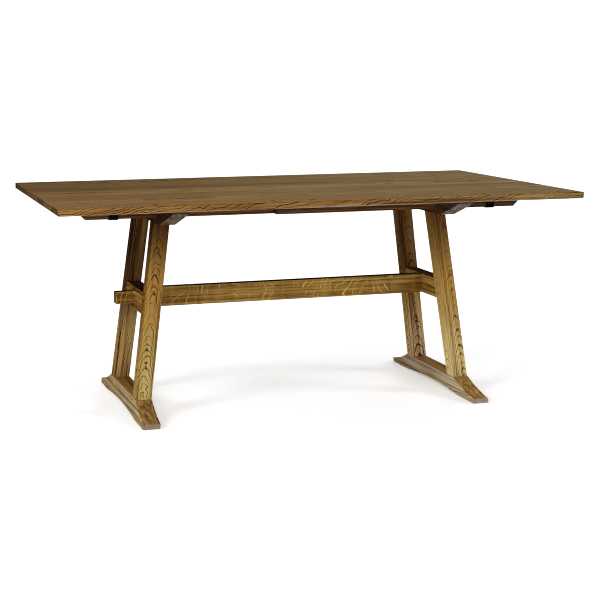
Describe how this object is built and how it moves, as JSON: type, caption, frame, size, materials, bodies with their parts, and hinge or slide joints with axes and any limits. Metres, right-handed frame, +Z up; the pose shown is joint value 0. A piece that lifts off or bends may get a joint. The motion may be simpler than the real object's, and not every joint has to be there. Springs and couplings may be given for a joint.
{
  "type": "trestle dining table",
  "caption": "Oak trestle dining table: plank top on leaning trestles with splayed legs, a keyed stretcher, and pull-out slides under the top that carry end leaves.",
  "frame": {"origin": "on the floor, under the middle of the table top", "axes": "+X along the table's length, +Y across it towards the back, +Z up; the front is -Y"},
  "size_m": [1.829, 1.067, 0.762],
  "materials": {
    "top_oak": "amber-brown stained oak, low-sheen varnish",
    "foot_oak": "amber-brown stained oak, low-sheen varnish",
    "rail_oak": "amber-brown stained oak, low-sheen varnish",
    "cleat_oak": "amber-brown stained oak, low-sheen varnish",
    "key_oak": "amber-brown stained oak, low-sheen varnish",
    "leg_oak": "amber-gold stained oak with dark cathedral grain, low-sheen varnish",
    "slide_oak": "brown stained oak, waxed",
    "dowel_beech": "plain dowel, unfinished",
    "black_steel": "black powder coat",
    "stretcher_oak": "amber-brown stained quarter-sawn oak with ray fleck",
    "black_screw": "black oxide",
    "zinc_screw": "zinc plate"
  },
  "bodies": {
    "frame": {"top_board_1": "top_oak", "top_board_2": "top_oak", "top_board_3": "top_oak", "top_board_4": "top_oak", "top_board_5": "top_oak", "top_board_6": "top_oak", "top_board_7": "top_oak", "foot_left": "foot_oak", "mid_rail_left": "rail_oak", "head_cleat_left": "cleat_oak", "foot_right": "foot_oak", "mid_rail_right": "rail_oak", "head_cleat_right": "cleat_oak", "leg_front_left": "leg_oak", "slide_keeper_front_left": "black_steel", "leg_front_right": "leg_oak", "slide_keeper_front_right": "black_steel", "leg_back_left": "leg_oak", "slide_keeper_back_left": "black_steel", "leg_back_right": "leg_oak", "slide_keeper_back_right": "black_steel", "stretcher": "stretcher_oak", "keeper_screws": "black_screw", "cleat_screws": "zinc_screw"},
    "slide_front_left": {"leaf_slide_front_left": "slide_oak", "slide_stop_front_left": "dowel_beech"},
    "slide_front_right": {"leaf_slide_front_right": "slide_oak", "slide_stop_front_right": "dowel_beech"},
    "slide_back_left": {"leaf_slide_back_left": "slide_oak", "slide_stop_back_left": "dowel_beech"},
    "slide_back_right": {"leaf_slide_back_right": "slide_oak", "slide_stop_back_right": "dowel_beech"},
    "key_left": {"tusk_key_left": "key_oak"},
    "key_right": {"tusk_key_right": "key_oak"}
  },
  "joints": [
    {"name": "pull_out_front_left", "type": "slide", "parent": "frame", "child": "slide_front_left", "axis": [-1, 0, 0], "range_m": [0, 0.567]},
    {"name": "pull_out_front_right", "type": "slide", "parent": "frame", "child": "slide_front_right", "axis": [1, 0, 0], "range_m": [0, 0.567]},
    {"name": "pull_out_back_left", "type": "slide", "parent": "frame", "child": "slide_back_left", "axis": [-1, 0, 0], "range_m": [0, 0.567]},
    {"name": "pull_out_back_right", "type": "slide", "parent": "frame", "child": "slide_back_right", "axis": [1, 0, 0], "range_m": [0, 0.567]},
    {"name": "lift_key_left", "type": "slide", "parent": "frame", "child": "key_left", "axis": [0.1348, 0, 0.9909], "range_m": [0, 0.055]},
    {"name": "lift_key_right", "type": "slide", "parent": "frame", "child": "key_right", "axis": [-0.1348, 0, 0.9909], "range_m": [0, 0.055]}
  ]
}
